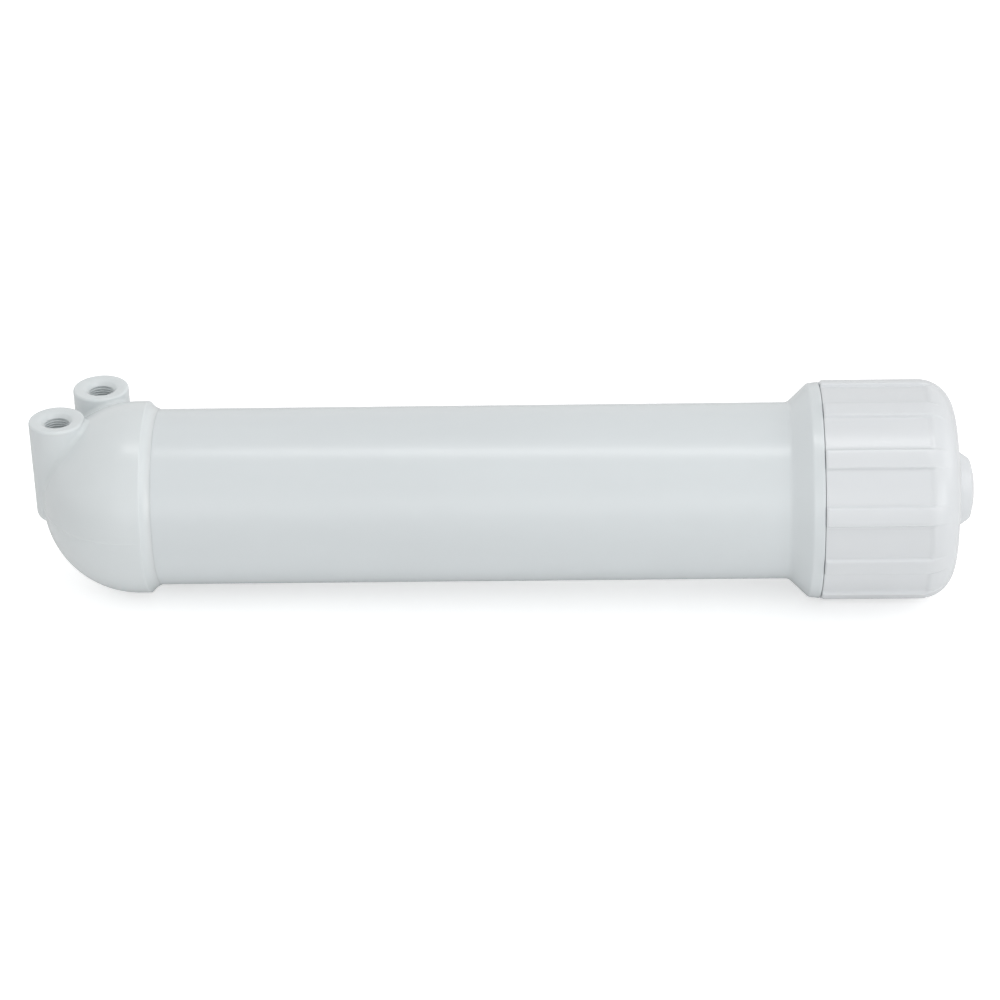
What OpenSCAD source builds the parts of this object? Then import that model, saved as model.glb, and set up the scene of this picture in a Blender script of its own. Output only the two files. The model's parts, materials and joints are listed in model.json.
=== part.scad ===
// Membrane pressure vessel: a moulded tube with a domed port head at one end and a
// ribbed screw cap at the other, with the spiral-wound element that it holds.
// Millimetres. X runs along the tube towards the cap, Z points out of the two head
// ports, Y completes the frame. The origin is on the axis, halfway along the bare tube.

/* [Tube] */
// Bare length of tube between the head's rim and the flare
tube_len = 223.5; // [150:0.5:400]
// Bore that takes the membrane element
tube_bore = 51; // [46:0.5:60]
// Wall of the tube
tube_wall = 6; // [4:0.25:7]

/* [Flare and neck] */
// Length of the cone from the tube out to the collar
flare_len = 7.9; // [6:0.1:14]
// Length of the collar's band up to the cap's seam
collar_len = 3.75; // [2.4:0.05:6]
// How far the collar lies inside the crests of the cap's ribs
collar_inset = 1.1; // [0.8:0.1:2]
// Radius where the tube turns into the flare
foot_round = 1.5; // [0.5:0.5:3]
// Radius where the flare turns into the collar
collar_round = 6.5; // [1:0.5:7]
// Length of the neck under the cap
neck_len = 36; // [33:0.5:44]
// Wall of the neck under its thread
neck_wall = 7.5; // [6.5:0.25:8.5]
// Bevel on the neck's rim
rim_bevel = 0.8; // [0.3:0.1:1.2]

/* [Cap thread] */
// Pitch of the thread, one start, right hand
thread_pitch = 5; // [4.6:0.1:5.4]
// Height of the thread above the neck
thread_h = 2; // [1.4:0.1:2.4]
// Width of the thread's crest
crest_w = 1.8; // [1.2:0.1:2]
// Widening of the thread's flank for each millimetre of height, both sides together
flank_widening = 0.6; // [0.3:0.05:0.8]
// Radial clearance between the two threads
thread_gap = 0.45; // [0.4:0.05:0.7]
// Turns of thread on the neck
neck_turns = 3.5; // [2.5:0.5:4]
// Turns of thread in the cap
cap_turns = 3; // [2:0.5:3.5]
// Distance from the seam to the start of the neck's thread
thread_start = 7.5; // [6:0.5:9]

/* [Cap] */
// Wall of the cap outside its thread
cap_wall = 3.05; // [2.5:0.05:5]
// Depth of the panels between the ribs
panel_depth = 1.1; // [0.6:0.1:1.6]
// Number of grip ribs
rib_count = 12; // [8:1:16]
// Width of each rib's crest
rib_w = 6; // [3:0.25:7]
// Run of a rib's sloping flank, on each side
rib_flank = 0.9; // [0.3:0.1:1.5]
// Bevel of the ribs at the cap's open edge
rib_bevel = 0.8; // [0.4:0.1:1.5]
// Length of the cap from its open edge to its end face
cap_len = 46.75; // [46.75:0.25:60]
// Radius of the cap's shoulder
shoulder_r = 13; // [10:0.5:15]
// Distance from the end face back to the end of the panels
panel_end = 10.2; // [9:0.2:16]
// How much lower the shoulder lies between the ribs
shoulder_relief = 0.4; // [0.2:0.05:0.8]
// Rise of the end face towards the nub
end_rise = 1.8; // [0.2:0.1:3]
// Thickness of the end wall
end_wall = 4.2; // [4:0.2:7]
// Gap between the cap's open edge and the collar
seam_gap = 0.45; // [0.35:0.05:1]
// Gap between the cap's shelf and the neck's rim
shelf_gap = 0.5; // [0.35:0.05:0.8]
// Clearance of the cap's pilot bore around the neck
pilot_gap = 0.6; // [0.4:0.1:1]
// Length of that pilot bore
pilot_len = 7; // [4:0.5:7.5]
// Bore of the feed chamber in the cap
chamber_d = 48; // [36:0.5:49]

/* [Cap seal] */
// Thickness of the cap's seal ring before it is squeezed
seal_section = 3.6; // [2.4:0.1:4]
// How far the seal ring is squeezed
seal_squeeze = 0.7; // [0.3:0.05:0.9]
// Side clearance of the seal ring in its groove
seal_side_gap = 0.3; // [0.2:0.05:0.6]

/* [Inlet nub] */
// Diameter of the nub where it leaves the end face
nub_base_d = 25.2; // [20:0.2:30]
// Diameter of the nub below its rounded edge
nub_top_d = 23.4; // [18:0.2:24]
// Height of the nub above the end face's rise
nub_h = 5.3; // [4:0.1:8]
// Radius of the nub's rounded edge
nub_round = 3.8; // [0.5:0.1:3.8]

/* [Head] */
// How far the head stands out from the tube
head_lip = 2.9; // [2:0.1:5]
// Straight part of the head beside its rim
head_rim_len = 4.1; // [2:0.1:10]
// Length of the rim's bevel
bevel_len = 3.65; // [2:0.05:5]
// Step left between the bevel and the tube
rim_land = 0.2; // [0.1:0.05:0.5]
// Depth of the socket that the tube is welded into
weld_depth = 12; // [9:0.5:14]
// Clearance around the tube in that socket
weld_gap = 0.05; // [0.02:0.01:0.1]
// Wall of the dome
dome_wall = 5.6; // [4:0.2:6.6]

/* [Ports] */
// Diameter of the two port bosses on the head
boss_d = 20; // [17:0.5:22]
// How far the port faces lie below the dome's crown
port_drop = 2.6; // [1:0.1:5]
// Depth of the bosses' feet below the axis
boss_foot = 5.3; // [3:0.1:10]
// Radius of the bosses' edges
boss_round = 1; // [0.3:0.1:2]
// Distance of the permeate port inside the dome's tip
permeate_inset = 7.1; // [5:0.1:9]
// Distance of the concentrate port inside the dome's side
concentrate_inset = 5.9; // [5:0.1:8]
// Bearing of the concentrate port from the dome's tip
concentrate_bearing = 59.3; // [50:0.1:75]
// Bore of the ports, cut for a taper pipe thread of one eighth inch
port_bore = 8.7; // [7.5:0.1:10]
// Depth of the head's threaded ports
port_depth = 14; // [10:0.5:16]
// Diameter of the countersink at each port
port_csk_d = 12.2; // [10.5:0.1:14]
// Bore of the upright water passages under the ports
passage_d = 6; // [5.4:0.2:7]
// Bore from the permeate socket to its port's passage
feed_through_d = 5; // [3:0.2:5]
// Depth of the permeate passage below the axis
passage_sump = 3.2; // [2.8:0.1:3.6]

/* [Permeate socket] */
// Diameter of the permeate tube
spigot_d = 17; // [15:0.1:19]
// Clearance of the permeate tube in its socket
spigot_gap = 0.2; // [0.1:0.05:0.4]
// Wall of the socket
socket_wall = 4.3; // [3:0.1:5]
// Distance from the dome's inside tip to the socket's floor
socket_floor = 8.3; // [6:0.1:11]
// Depth of the socket
socket_depth = 19; // [16:0.5:20]
// End clearance of the permeate tube in the socket
spigot_end_gap = 0.5; // [0.3:0.1:2]
// Thickness of the spigot's seal rings before they are squeezed
ring_section = 2.4; // [1.8:0.1:2.6]
// How far the spigot's seal rings are squeezed
ring_squeeze = 0.4; // [0.2:0.05:0.6]
// Clearance left at the faces of a squeezed seal ring
ring_gap = 0.02; // [0.01:0.01:0.05]
// Side clearance of a spigot seal ring in its groove
ring_side_gap = 0.2; // [0.1:0.05:0.4]
// Distance of the outer seal ring from the end of the permeate tube
ring_first = 4; // [3:0.25:6]
// Spacing of the two seal rings
ring_pitch = 6.5; // [4.5:0.25:8]

/* [Membrane element] */
// Gap around the wrapped roll in the tube's bore
bypass_gap = 3.2; // [1.5:0.1:5]
// Thickness of the tape around the roll
wrap_t = 0.3; // [0.2:0.05:1]
// Bare length of permeate tube at the outlet end of the roll
outlet_bare = 22; // [20:0.5:28]
// Bare length of permeate tube at the feed end
feed_bare = 20; // [14:0.5:24]
// Distance from the plug to the cap's inside face
feed_end_gap = 7.9; // [4:0.1:20]
// Bore of the permeate tube
spigot_bore = 10; // [7:0.5:11]
// Diameter of the holes that let water into the permeate tube
weep_d = 3; // [2:0.25:4]
// Spacing of those holes along the tube
weep_pitch = 22; // [15:1:40]
// Length of the plug's shank
plug_len = 9; // [6:0.5:12]
// Thickness of the plug's head
plug_head = 2; // [1:0.25:3]
// Clearance of the plug in the permeate tube
plug_gap = 0.05; // [0.02:0.01:0.1]
// Length of the seal carrier
carrier_len = 8; // [7:0.25:12]
// Wall of the carrier's hub on the permeate tube
hub_wall = 2; // [1.5:0.1:3]
// Clearance of the hub on the permeate tube
hub_gap = 0.05; // [0.02:0.01:0.1]
// Radial depth of the carrier's outer ring
carrier_ring = 3.7; // [3.2:0.1:5]
// Number of spokes in the carrier
spoke_count = 6; // [4:1:8]
// Width of a spoke
spoke_w = 2.4; // [1.5:0.1:3.5]
// Depth of the groove that holds the brine seal
lip_groove = 1.5; // [1:0.1:2]
// Width of that groove
lip_groove_w = 5; // [4:0.1:5.5]
// Thickness of the brine seal's lip
lip_t = 0.9; // [0.6:0.1:1.2]
// Clearance of the brine seal at the bore and in its groove
lip_gap = 0.05; // [0.02:0.01:0.2]

/* [Hidden] */
$fn = 96;
// Straight pieces in a turn of thread, and in a rounded edge
thread_steps = 40;
round_steps = 8;
shoulder_steps = 14;
// Depth that a thread is rooted in its wall, and what its ends sink below the surface
thread_root = 0.8;
thread_fade = 0.1;
// Share of a turn over which a thread rises at its ends
thread_lead = 0.5;
// Overrun of cutting shapes
over = 1;
// Bevel inside the cap's open edge
lead_in = 0.8;
// Overlap of a shoulder's relief with its panel, and how far round the shoulder it runs
relief_lap = 0.2;
relief_turn = 70;

// Radii from the axis outwards
bore_r = tube_bore / 2;
tube_r = bore_r + tube_wall;
neck_r = bore_r + neck_wall;
thread_r = neck_r + thread_h;
cap_crest_r = neck_r + thread_gap;
cap_root_r = thread_r + thread_gap;
panel_r = cap_root_r + cap_wall;
cap_r = panel_r + panel_depth;
collar_r = cap_r - collar_inset;
head_r = tube_r + head_lip;
cavity_r = head_r - dome_wall;

// Stations along the axis
x_head_rim = -tube_len / 2;
x_dome = x_head_rim - bevel_len - head_rim_len;
x_weld = x_head_rim - weld_depth;
x_flare = tube_len / 2;
x_crest = x_flare + flare_len;
x_seam = x_crest + collar_len;
x_rim = x_seam + neck_len;
x_cap = x_seam + seam_gap;
x_end = x_cap + cap_len;
x_nub = x_end + end_rise + nub_h;
x_shelf = x_rim + shelf_gap;
x_inside = x_end - end_wall;

// Cap seal in its groove
seal_r = (bore_r + neck_r) / 2;
seal_h = seal_section - seal_squeeze;
groove_depth = seal_h - shelf_gap;
groove_w = seal_section + 2 * seal_side_gap;

// Ports: the axis of each boss and its levels
port_z = head_r - port_drop;
permeate_x = x_dome - head_r + permeate_inset;
concentrate_reach = head_r - concentrate_inset;
concentrate_x = x_dome - concentrate_reach * cos(concentrate_bearing);
concentrate_y = concentrate_reach * sin(concentrate_bearing);
csk_depth = (port_csk_d - port_bore) / 2;

// Permeate socket and the element that plugs into it
spigot_r = spigot_d / 2;
socket_r = spigot_r + spigot_gap;
x_socket = x_dome - cavity_r + socket_floor;
x_spigot = x_socket + spigot_end_gap;
x_roll = x_spigot + outlet_bare;
x_plug = x_inside - feed_end_gap;
x_tube_end = x_plug - plug_head;
x_carrier_end = x_tube_end - feed_bare;
x_carrier = x_carrier_end - carrier_len;
wrap_r = bore_r - bypass_gap;
roll_r = wrap_r - wrap_t;
ring_h = ring_section - ring_squeeze;
ring_groove_r = socket_r - ring_h;
ring_groove_w = ring_section + 2 * ring_side_gap;
x_ring_outer = x_spigot + ring_first;
x_ring_inner = x_ring_outer + ring_pitch;
groove_floor_r = wrap_r - lip_groove;
x_lip = x_carrier + (carrier_len - lip_groove_w) / 2;

// Points of an arc in a profile of [radius, station]
function arc(c, r, from, to, steps = round_steps) =
  [for (i = [0:steps]) let (a = from + (to - from) * i / steps) c + r * [cos(a), sin(a)]];

// Turns a profile of [radius, station along X] about the X axis
module turned(points) {
  rotate([0, 90, 0])
    rotate_extrude()
      polygon(points);
}

// Cylinder along X from one station to another
module rod(r, from, to) {
  translate([from, 0, 0])
    rotate([0, 90, 0])
      cylinder(r = r, h = to - from);
}

// One quarter of a thread's section at a step: root and crest on both flanks
function thread_section(a, root, crest, root_w, tip_w, x) = [
  [root * cos(a), root * sin(a), x - root_w / 2],
  [crest * cos(a), crest * sin(a), x - tip_w / 2],
  [crest * cos(a), crest * sin(a), x + tip_w / 2],
  [root * cos(a), root * sin(a), x + root_w / 2]
];

// Helical ridge that stands on a wall at wall_r and reaches to tip_r, from station x on.
// It rises from the wall at one end and sinks back into it at the other.
module thread_ridge(wall_r, tip_r, tip_w, turns, x) {
  way = tip_r > wall_r ? 1 : -1;
  h = abs(tip_r - wall_r);
  root = wall_r - way * thread_root;
  full = h + thread_root;
  least = (thread_root - thread_fade) / full;
  steps = round(turns * thread_steps);
  root_w = tip_w + full * flank_widening;
  points = [
    for (i = [0:steps])
      let (share = min(i, steps - i) / (thread_lead * thread_steps))
      let (rise = max(least, min(1, share)))
      each thread_section(
        360 * i / thread_steps, root, root + way * full * rise,
        root_w, root_w - full * rise * flank_widening, thread_pitch * i / thread_steps)
  ];
  sides = [
    for (i = [0:steps - 1], k = [0:3])
      let (a = 4 * i + k, b = 4 * i + (k + 1) % 4)
      each [[a, b, b + 4], [a, b + 4, a + 4]]
  ];
  last = 4 * steps;
  ends = [[3, 2, 1, 0], [last, last + 1, last + 2, last + 3]];
  faces = concat(sides, ends);
  outward = way > 0 ? faces : [for (f = faces) [for (i = [len(f) - 1:-1:0]) f[i]]];
  translate([x, 0, 0])
    rotate([0, 90, 0])
      polyhedron(points = points, faces = outward, convexity = 10);
}

// Threaded port's cut, along -Z from its face at the origin
module port_cut(depth) {
  translate([0, 0, -depth])
    cylinder(d = port_bore, h = depth + over);
  translate([0, 0, -csk_depth])
    cylinder(d1 = port_bore, d2 = port_csk_d + 2 * over, h = csk_depth + over);
}

// Upright port boss with rounded edges
module boss() {
  r = boss_d / 2;
  rotate_extrude()
    polygon(concat(
      [[0, -boss_foot]],
      arc([r - boss_round, boss_round - boss_foot], boss_round, -90, 0),
      arc([r - boss_round, port_z - boss_round], boss_round, 0, 90),
      [[0, port_z]]));
}

// Domed head with its socket for the tube, the permeate socket and the two ports
module end_head() {
  color("whitesmoke")
    difference() {
      union() {
        head_body();
        translate([permeate_x, 0, 0])
          boss();
        translate([concentrate_x, concentrate_y, 0])
          boss();
      }
      difference() {
        head_cavity();
        rod(socket_r + socket_wall, x_dome - head_r, x_socket + socket_depth);
        translate([permeate_x, 0, 0])
          cylinder(d = passage_d + 2 * socket_wall, h = port_z);
      }
      rod(tube_r + weld_gap, x_weld, x_head_rim + over);
      rod(socket_r, x_socket, x_socket + socket_depth + over);
      rod(feed_through_d / 2, permeate_x, x_socket + over);
      translate([permeate_x, 0, port_z])
        port_cut(port_depth);
      translate([permeate_x, 0, -passage_sump])
        cylinder(d = passage_d, h = port_z);
      translate([concentrate_x, concentrate_y, port_z])
        port_cut(port_depth);
      translate([concentrate_x, concentrate_y, boss_foot])
        cylinder(d = passage_d, h = port_z - boss_foot);
    }
}

// Half a disc's quarter below a dome's centre, in a profile of [radius, station]
module dome_quarter(r) {
  translate([0, x_dome])
    intersection() {
      circle(r = r);
      translate([0, -r])
        square([r, r]);
    }
}

// Outside of the head: half a ball, a short rim and its bevel
module head_body() {
  rotate([0, 90, 0])
    rotate_extrude() {
      dome_quarter(head_r);
      polygon([
        [0, x_dome],
        [head_r, x_dome],
        [head_r, x_dome + head_rim_len],
        [tube_r + rim_land, x_head_rim],
        [0, x_head_rim]
      ]);
    }
}

// Hollow of the dome
module head_cavity() {
  rotate([0, 90, 0])
    rotate_extrude()
      dome_quarter(cavity_r);
}

// Tube, flare, collar and threaded neck in one moulding
module shell_tube() {
  rise = collar_r - tube_r;
  slope = asin(foot_round / norm([flare_len, foot_round - rise])) - atan2(foot_round - rise, flare_len);
  reach = collar_round * tan(slope / 2);
  crest = [collar_r - collar_round, x_crest + reach];
  color("white") {
    turned(concat(
      [[bore_r, x_weld], [tube_r, x_weld]],
      arc([tube_r + foot_round, x_flare], foot_round, 180, 180 - slope),
      arc(crest, collar_round, -slope, 0),
      [
        [collar_r, x_seam],
        [neck_r, x_seam],
        [neck_r, x_rim - rim_bevel],
        [neck_r - rim_bevel, x_rim],
        [bore_r + rim_bevel, x_rim],
        [bore_r, x_rim - rim_bevel]
      ]));
    thread_ridge(neck_r, thread_r, crest_w, neck_turns, x_seam + thread_start);
  }
}

// Outline of the cap with a shoulder that starts at radius r, up to its end face
function cap_outline(r, round_r) = concat(
  [[0, x_cap], [r - rib_bevel, x_cap], [r, x_cap + rib_bevel]],
  arc([r - round_r, x_end - round_r], round_r, 0, 90, shoulder_steps),
  [[0, x_end]]);

// Ribbed screw cap with its thread, seal groove and inlet nub
module screw_cap() {
  color("ivory")
    difference() {
      union() {
        difference() {
          cap_shell();
          for (i = [0:rib_count - 1])
            rotate([360 * i / rib_count, 0, 0])
              panel_cut();
        }
        thread_ridge(cap_root_r, cap_crest_r, cap_ridge_w(), cap_turns, x_seam + cap_ridge_start());
      }
      translate([x_nub, 0, 0])
        rotate([0, 90, 0])
          port_cut(x_nub - x_inside + over);
    }
}

// The cap's ridge lies in the middle of the neck's groove, half a pitch back
function cap_ridge_start() = thread_start - thread_pitch / 2;
// and is as much narrower than that groove as the threads' clearance asks for
function cap_ridge_w() =
  thread_pitch - crest_w - thread_h * flank_widening - 2 * thread_gap + thread_gap * flank_widening;

// Cap without its panels and thread
module cap_shell() {
  nub_r = nub_top_d / 2;
  difference() {
    union() {
      turned(cap_outline(cap_r, shoulder_r));
      turned(concat(
        [
          [0, x_end - over],
          [cap_r - shoulder_r, x_end - over],
          [cap_r - shoulder_r, x_end],
          [nub_base_d / 2, x_end + end_rise]
        ],
        arc([nub_r - nub_round, x_nub - nub_round], nub_round, 0, 90),
        [[0, x_nub]]));
    }
    turned([
      [0, x_cap - over],
      [cap_root_r + lead_in, x_cap - over],
      [cap_root_r + lead_in, x_cap],
      [cap_root_r, x_cap + lead_in],
      [cap_root_r, x_shelf - pilot_len],
      [neck_r + pilot_gap, x_shelf - pilot_len + thread_h],
      [neck_r + pilot_gap, x_shelf],
      [seal_r + groove_w / 2, x_shelf],
      [seal_r + groove_w / 2, x_shelf + groove_depth],
      [seal_r - groove_w / 2, x_shelf + groove_depth],
      [seal_r - groove_w / 2, x_shelf],
      [chamber_d / 2, x_shelf],
      [chamber_d / 2, x_inside],
      [0, x_inside]
    ]);
  }
}

// Cut for one panel, centred straight up: a sloping-sided recess that runs out at the cap's
// open edge, and a shallow one that follows the shoulder and runs out at the end face
module panel_cut() {
  pitch_w = 2 * PI * cap_r / rib_count;
  half_top = 180 * (pitch_w - rib_w) / 2 / (PI * cap_r);
  half_floor = half_top - 180 * rib_flank / (PI * cap_r);
  half_relief = (half_top + half_floor) / 2;
  foot = panel_r * [sin(half_floor), cos(half_floor)];
  past = 2 * cap_r * [sin(half_top), cos(half_top)] - foot;
  translate([x_cap - over, 0, 0])
    rotate([90, 0, 90])
      linear_extrude(cap_len + over - panel_end)
        difference() {
          polygon([
            [0, 0],
            [-foot[0], foot[1]],
            [-past[0], past[1]],
            [0, cap_r / cos(half_top) + over],
            past,
            foot
          ]);
          circle(r = panel_r);
        }
  relief_r = cap_r - shoulder_relief;
  relief_round = shoulder_r + shoulder_relief;
  relief_x = x_end - panel_end - relief_lap;
  floor_c = [relief_r - relief_round, x_end - relief_round];
  cover_c = [cap_r - shoulder_r, x_end - shoulder_r];
  floor_from = asin(max(0, relief_x - floor_c[1]) / relief_round);
  cover_from = asin(max(0, relief_x - cover_c[1]) / (shoulder_r + over));
  floor_lead = relief_x < floor_c[1] ? [[relief_r, relief_x]] : [];
  cover_lead = relief_x < cover_c[1] ? [[cap_r + over, relief_x]] : [];
  rotate([180 - half_relief, 0, 0])
    rotate([0, 90, 0])
      rotate_extrude(angle = 2 * half_relief)
        polygon(concat(
          floor_lead,
          arc(floor_c, relief_round, floor_from, relief_turn, shoulder_steps),
          arc(cover_c, shoulder_r + over, relief_turn, cover_from, shoulder_steps),
          cover_lead));
}

// Seal ring between the cap's groove and the neck's rim, squeezed flat on both faces
module cap_o_ring() {
  color("dimgray")
    rotate([0, 90, 0])
      rotate_extrude()
        translate([seal_r, x_rim + seal_h / 2])
          intersection() {
            circle(d = seal_section);
            square([seal_section + over, seal_h], center = true);
          }
}

// Drilled centre tube of the element, with the two seal grooves on its spigot
module permeate_tube() {
  weeps = floor((x_carrier - x_roll) / weep_pitch);
  first = (x_roll + x_carrier - (weeps - 1) * weep_pitch) / 2;
  color("gainsboro")
    difference() {
      rod(spigot_r, x_spigot, x_tube_end);
      rod(spigot_bore / 2, x_spigot - over, x_tube_end + over);
      ring_groove(x_ring_outer);
      ring_groove(x_ring_inner);
      for (i = [0:weeps - 1])
        translate([first + i * weep_pitch, 0, 0])
          cylinder(d = weep_d, h = spigot_d + 2 * over, center = true);
    }
}

// Groove for a seal ring around the spigot
module ring_groove(x) {
  difference() {
    rod(spigot_r + over, x - ring_groove_w / 2, x + ring_groove_w / 2);
    rod(ring_groove_r, x - ring_groove_w, x + ring_groove_w);
  }
}

// Seal ring of the spigot, squeezed between its groove and the socket
module spigot_ring(x) {
  height = ring_h - 2 * ring_gap;
  color("dimgray")
    rotate([0, 90, 0])
      rotate_extrude()
        translate([socket_r - ring_h / 2, x])
          intersection() {
            circle(d = ring_section);
            square([height, ring_section + over], center = true);
          }
}

module permeate_o_ring_inner() {
  spigot_ring(x_ring_inner);
}

module permeate_o_ring_outer() {
  spigot_ring(x_ring_outer);
}

// Wound membrane and spacer sheets, glued into one roll on the permeate tube
module membrane_roll() {
  color("lightsteelblue")
    difference() {
      rod(roll_r, x_roll, x_carrier);
      rod(spigot_r, x_roll - over, x_carrier + over);
    }
}

// Tape around the roll
module element_wrap() {
  color("steelblue")
    difference() {
      rod(wrap_r, x_roll, x_carrier);
      rod(roll_r, x_roll - over, x_carrier + over);
    }
}

// Spoked ring on the feed end of the roll, with the groove for the brine seal
module seal_carrier() {
  hub_r = spigot_r + hub_gap;
  color("silver")
    difference() {
      union() {
        difference() {
          rod(wrap_r, x_carrier, x_carrier_end);
          rod(wrap_r - carrier_ring, x_carrier - over, x_carrier_end + over);
        }
        rod(hub_r + hub_wall, x_carrier, x_carrier_end);
        for (i = [0:spoke_count - 1])
          rotate([360 * i / spoke_count, 0, 0])
            translate([x_carrier, -spoke_w / 2, 0])
              cube([carrier_len, spoke_w, wrap_r - carrier_ring / 2]);
      }
      rod(hub_r, x_carrier - over, x_carrier_end + over);
      difference() {
        rod(wrap_r + over, x_lip, x_lip + lip_groove_w);
        rod(groove_floor_r, x_lip - over, x_lip + lip_groove_w + over);
      }
    }
}

// Cup-shaped lip seal: its base sits in the carrier's groove and its lip opens towards the cap
module brine_seal() {
  base_r = groove_floor_r + lip_gap;
  base_x = x_lip + lip_gap;
  end_x = x_lip + lip_groove_w - lip_gap;
  tip_r = bore_r - lip_gap;
  color("black")
    turned([
      [base_r, base_x],
      [wrap_r + lip_t, base_x],
      [tip_r, end_x - lip_t],
      [tip_r, end_x],
      [tip_r - lip_t, end_x],
      [wrap_r, base_x + 2 * lip_t],
      [base_r + lip_t, base_x + 2 * lip_t],
      [base_r + lip_t, end_x],
      [base_r, end_x]
    ]);
}

// Plug that closes the permeate tube at the feed end
module tube_plug() {
  color("lightgray") {
    rod(spigot_bore / 2 - plug_gap, x_tube_end - plug_len, x_tube_end);
    rod(spigot_r, x_tube_end, x_plug);
  }
}

end_head();
shell_tube();
screw_cap();
cap_o_ring();
permeate_tube();
membrane_roll();
element_wrap();
seal_carrier();
brine_seal();
permeate_o_ring_inner();
permeate_o_ring_outer();
tube_plug();
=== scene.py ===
"""Membrane pressure vessel, modelled and finished around its packed frame.

A moulded white tube with a domed port head and a ribbed screw cap lies on a pale floor, with
the wound membrane element inside it. Lengths are metres, X runs along the tube to the cap.
"""
import json
import math

import bmesh
import bpy
from bpy.props import FloatProperty, FloatVectorProperty, IntProperty, PointerProperty
from mathutils import Matrix, Vector


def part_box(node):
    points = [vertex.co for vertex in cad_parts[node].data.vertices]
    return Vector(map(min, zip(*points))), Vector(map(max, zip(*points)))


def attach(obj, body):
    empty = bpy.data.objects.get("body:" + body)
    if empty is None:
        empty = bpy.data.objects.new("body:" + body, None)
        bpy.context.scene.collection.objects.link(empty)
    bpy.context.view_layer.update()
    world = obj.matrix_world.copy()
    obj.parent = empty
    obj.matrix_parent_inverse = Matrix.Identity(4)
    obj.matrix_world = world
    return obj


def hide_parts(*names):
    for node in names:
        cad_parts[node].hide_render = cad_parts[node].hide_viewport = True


bl_info = {
    "name": "Membrane Pressure Vessel",
    "version": (1, 0, 0),
    "blender": (4, 5, 0),
    "location": "View3D > Sidebar > Vessel",
    "description": "Models the mouldings of a membrane housing and finishes what they hold",
    "category": "Add Mesh",
}

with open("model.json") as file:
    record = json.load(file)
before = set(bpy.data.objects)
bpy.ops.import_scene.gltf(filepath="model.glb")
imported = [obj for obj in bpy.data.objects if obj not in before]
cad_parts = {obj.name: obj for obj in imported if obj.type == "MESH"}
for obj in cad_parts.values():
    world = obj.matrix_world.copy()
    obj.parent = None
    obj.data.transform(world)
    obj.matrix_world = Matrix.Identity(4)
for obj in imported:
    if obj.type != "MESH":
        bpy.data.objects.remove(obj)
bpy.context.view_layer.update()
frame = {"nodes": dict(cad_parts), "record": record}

MM = 0.001

# How far a chord may lie inside its arc, and how close doubled points are
CHORD = 0.003 * MM
MERGE = 0.001 * MM
# Overrun of cutting shapes, and how far a blend dips under the faces that it joins
OVER = 1 * MM
SINK = 0.012 * MM
# Edges turned by less than this are shaded as one surface
SMOOTH_ANGLE = math.radians(32)
# Steps in a whole turn
PORT_STEPS = 64
ROD_STEPS = 96
BOSS_STEPS = 128
CAP_BORE_STEPS = 144
TUBE_STEPS = 192

# Places that the frame gives
HEAD_LOW, HEAD_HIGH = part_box("end_head")
TUBE_LOW, TUBE_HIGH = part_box("shell_tube")
CAP_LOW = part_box("screw_cap")[0]
MOUNTS = {mount["name"]: mount for mount in frame["record"]["mounts"]}
PERMEATE_AT = Vector(MOUNTS["permeate_port"]["pos_m"]).to_2d()
CONCENTRATE_AT = Vector(MOUNTS["concentrate_port"]["pos_m"]).to_2d()
TUBE_R = MOUNTS["clip_band"]["dims"]["r_mm"] * MM
PORT_R = MOUNTS["permeate_port"]["dims"]["r_mm"] * MM
HEAD_R = HEAD_HIGH.z
HEAD_RIM_X = HEAD_HIGH.x
COLLAR_R = TUBE_HIGH.z
WELD_X = TUBE_LOW.x
FLARE_X = HEAD_RIM_X + MOUNTS["clip_band"]["dims"]["length_mm"] * MM
NECK_RIM_X = TUBE_HIGH.x
CAP_X = CAP_LOW.x


def length(name, description, mm):
    """A length of the object, given in millimetres and kept in metres."""
    return FloatProperty(
        name=name, description=description, default=mm * MM, min=0, unit="LENGTH", precision=5
    )


def colour(name, description, red, green, blue):
    """A surface colour, in linear light."""
    return FloatVectorProperty(
        name=name, description=description, default=(red, green, blue),
        min=0, max=1, subtype="COLOR",
    )


def share(name, description, value):
    """A number from none to all."""
    return FloatProperty(
        name=name, description=description, default=value, min=0, max=1, subtype="FACTOR"
    )


def turn(name, description, degrees):
    """An angle, given in degrees and kept in radians."""
    return FloatProperty(
        name=name, description=description, default=math.radians(degrees), unit="ROTATION"
    )


def amount(name, description, value):
    """A plain number, such as a lamp's strength."""
    return FloatProperty(name=name, description=description, default=value, min=0)


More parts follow.
